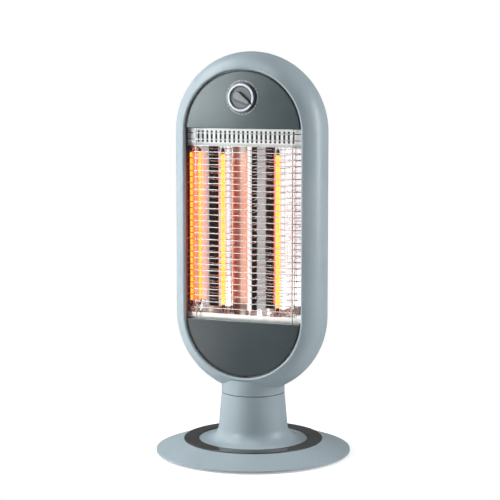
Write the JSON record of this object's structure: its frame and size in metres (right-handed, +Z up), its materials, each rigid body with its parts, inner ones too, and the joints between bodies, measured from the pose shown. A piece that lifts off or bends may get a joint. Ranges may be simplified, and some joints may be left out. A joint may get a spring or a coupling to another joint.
{
  "type": "carbon heater",
  "caption": "Free-standing carbon heater: pill-shaped swivelling head with mirror reflector, glowing tubes, wire guard and control knob on a round weighted base.",
  "frame": {"origin": "centre of the base on the floor, on the swivel axis", "axes": "+Z up along the swivel axis, -Y out of the window, +X to the right seen from the window's front"},
  "size_m": [0.2772, 0.2772, 0.5685],
  "materials": {
    "housing": "satin moulded, bluish grey",
    "dark_panel": "semi-gloss dark grey",
    "dark_ring": "gloss charcoal",
    "cover_steel": "matt black",
    "ballast": "as cast",
    "rubber": "matt",
    "lead_jacket": "smooth jacket",
    "fasteners": "zinc plated",
    "steel": "plain",
    "slip_plastic": "natural",
    "black_plastic": "fine grain",
    "knob_plastic": "satin",
    "bright_trim": "satin chrome",
    "mirror_steel": "mirror polished",
    "guard_wire": "bright plated",
    "cap_white": "unglazed white",
    "quartz": "clear",
    "filament": "glowing carbon"
  },
  "bodies": {
    "base": {"base_dish": "housing", "base_ring": "dark_ring", "bottom_cover": "cover_steel", "base_weight": "ballast", "rubber_feet": "rubber", "cover_screws": "fasteners", "pedestal_screws": "fasteners", "pedestal": "housing", "cord_grommet": "rubber", "tilt_switch": "black_plastic", "base_terminal_block": "black_plastic", "base_leads": "lead_jacket", "pivot_tube": "steel", "pivot_screws": "fasteners", "swivel_bearing": "slip_plastic", "thrust_washer": "slip_plastic", "fixed_gear": "slip_plastic", "retaining_nut": "fasteners"},
    "plunger": {"tilt_plunger": "black_plastic"},
    "drive": {"drive_pinion": "slip_plastic", "motor_shaft": "steel"},
    "knob": {"control_knob": "knob_plastic", "knob_trim_ring": "bright_trim", "switch_shaft": "steel"},
    "head": {"neck_collar": "housing", "front_bezel": "housing", "rear_shell": "housing", "upper_panel": "dark_panel", "lower_panel": "dark_panel", "window_liners": "cover_steel", "lamp_leads": "lead_jacket", "supply_leads": "lead_jacket", "motor_screws": "fasteners", "collar_screws": "fasteners", "housing_screws": "fasteners", "chassis_screws": "fasteners", "switch_nut": "fasteners", "chassis": "steel", "oscillation_motor": "steel", "head_terminal_block": "black_plastic", "rotary_switch": "black_plastic", "thermal_cutout": "black_plastic", "reflector": "mirror_steel", "upper_end_plate": "mirror_steel", "lower_end_plate": "mirror_steel", "vent_strip": "mirror_steel", "sill_strip": "mirror_steel", "wire_guard": "guard_wire", "upper_tube_caps": "cap_white", "lower_tube_caps": "cap_white", "quartz_tube_left": "quartz", "quartz_tube_right": "quartz", "carbon_filament_left": "filament", "carbon_filament_right": "filament"}
  },
  "joints": [
    {"name": "head_swivel", "type": "hinge", "parent": "base", "child": "head", "pos_m": [0, 0, 0.0867], "axis": [0, 0, 1], "range_deg": [-45, 45]},
    {"name": "pinion_spin", "type": "hinge", "parent": "head", "child": "drive", "pos_m": [0.0255, 0, 0.0955], "axis": [0, 0, 1], "range_deg": [-108, 108]},
    {"name": "knob_turn", "type": "hinge", "parent": "head", "child": "knob", "pos_m": [0, -0.043, 0.5052], "axis": [0, 1, 0], "range_deg": [-120, 180]},
    {"name": "plunger_slide", "type": "slide", "parent": "base", "child": "plunger", "axis": [0, 0, 1], "range_m": [-0.005, 0], "stiffness_N_per_m": 120, "springref_m": -0.008}
  ],
  "couplings": [
    {"joint": "pinion_spin", "follows": "head_swivel", "ratio": 2.4}
  ]
}
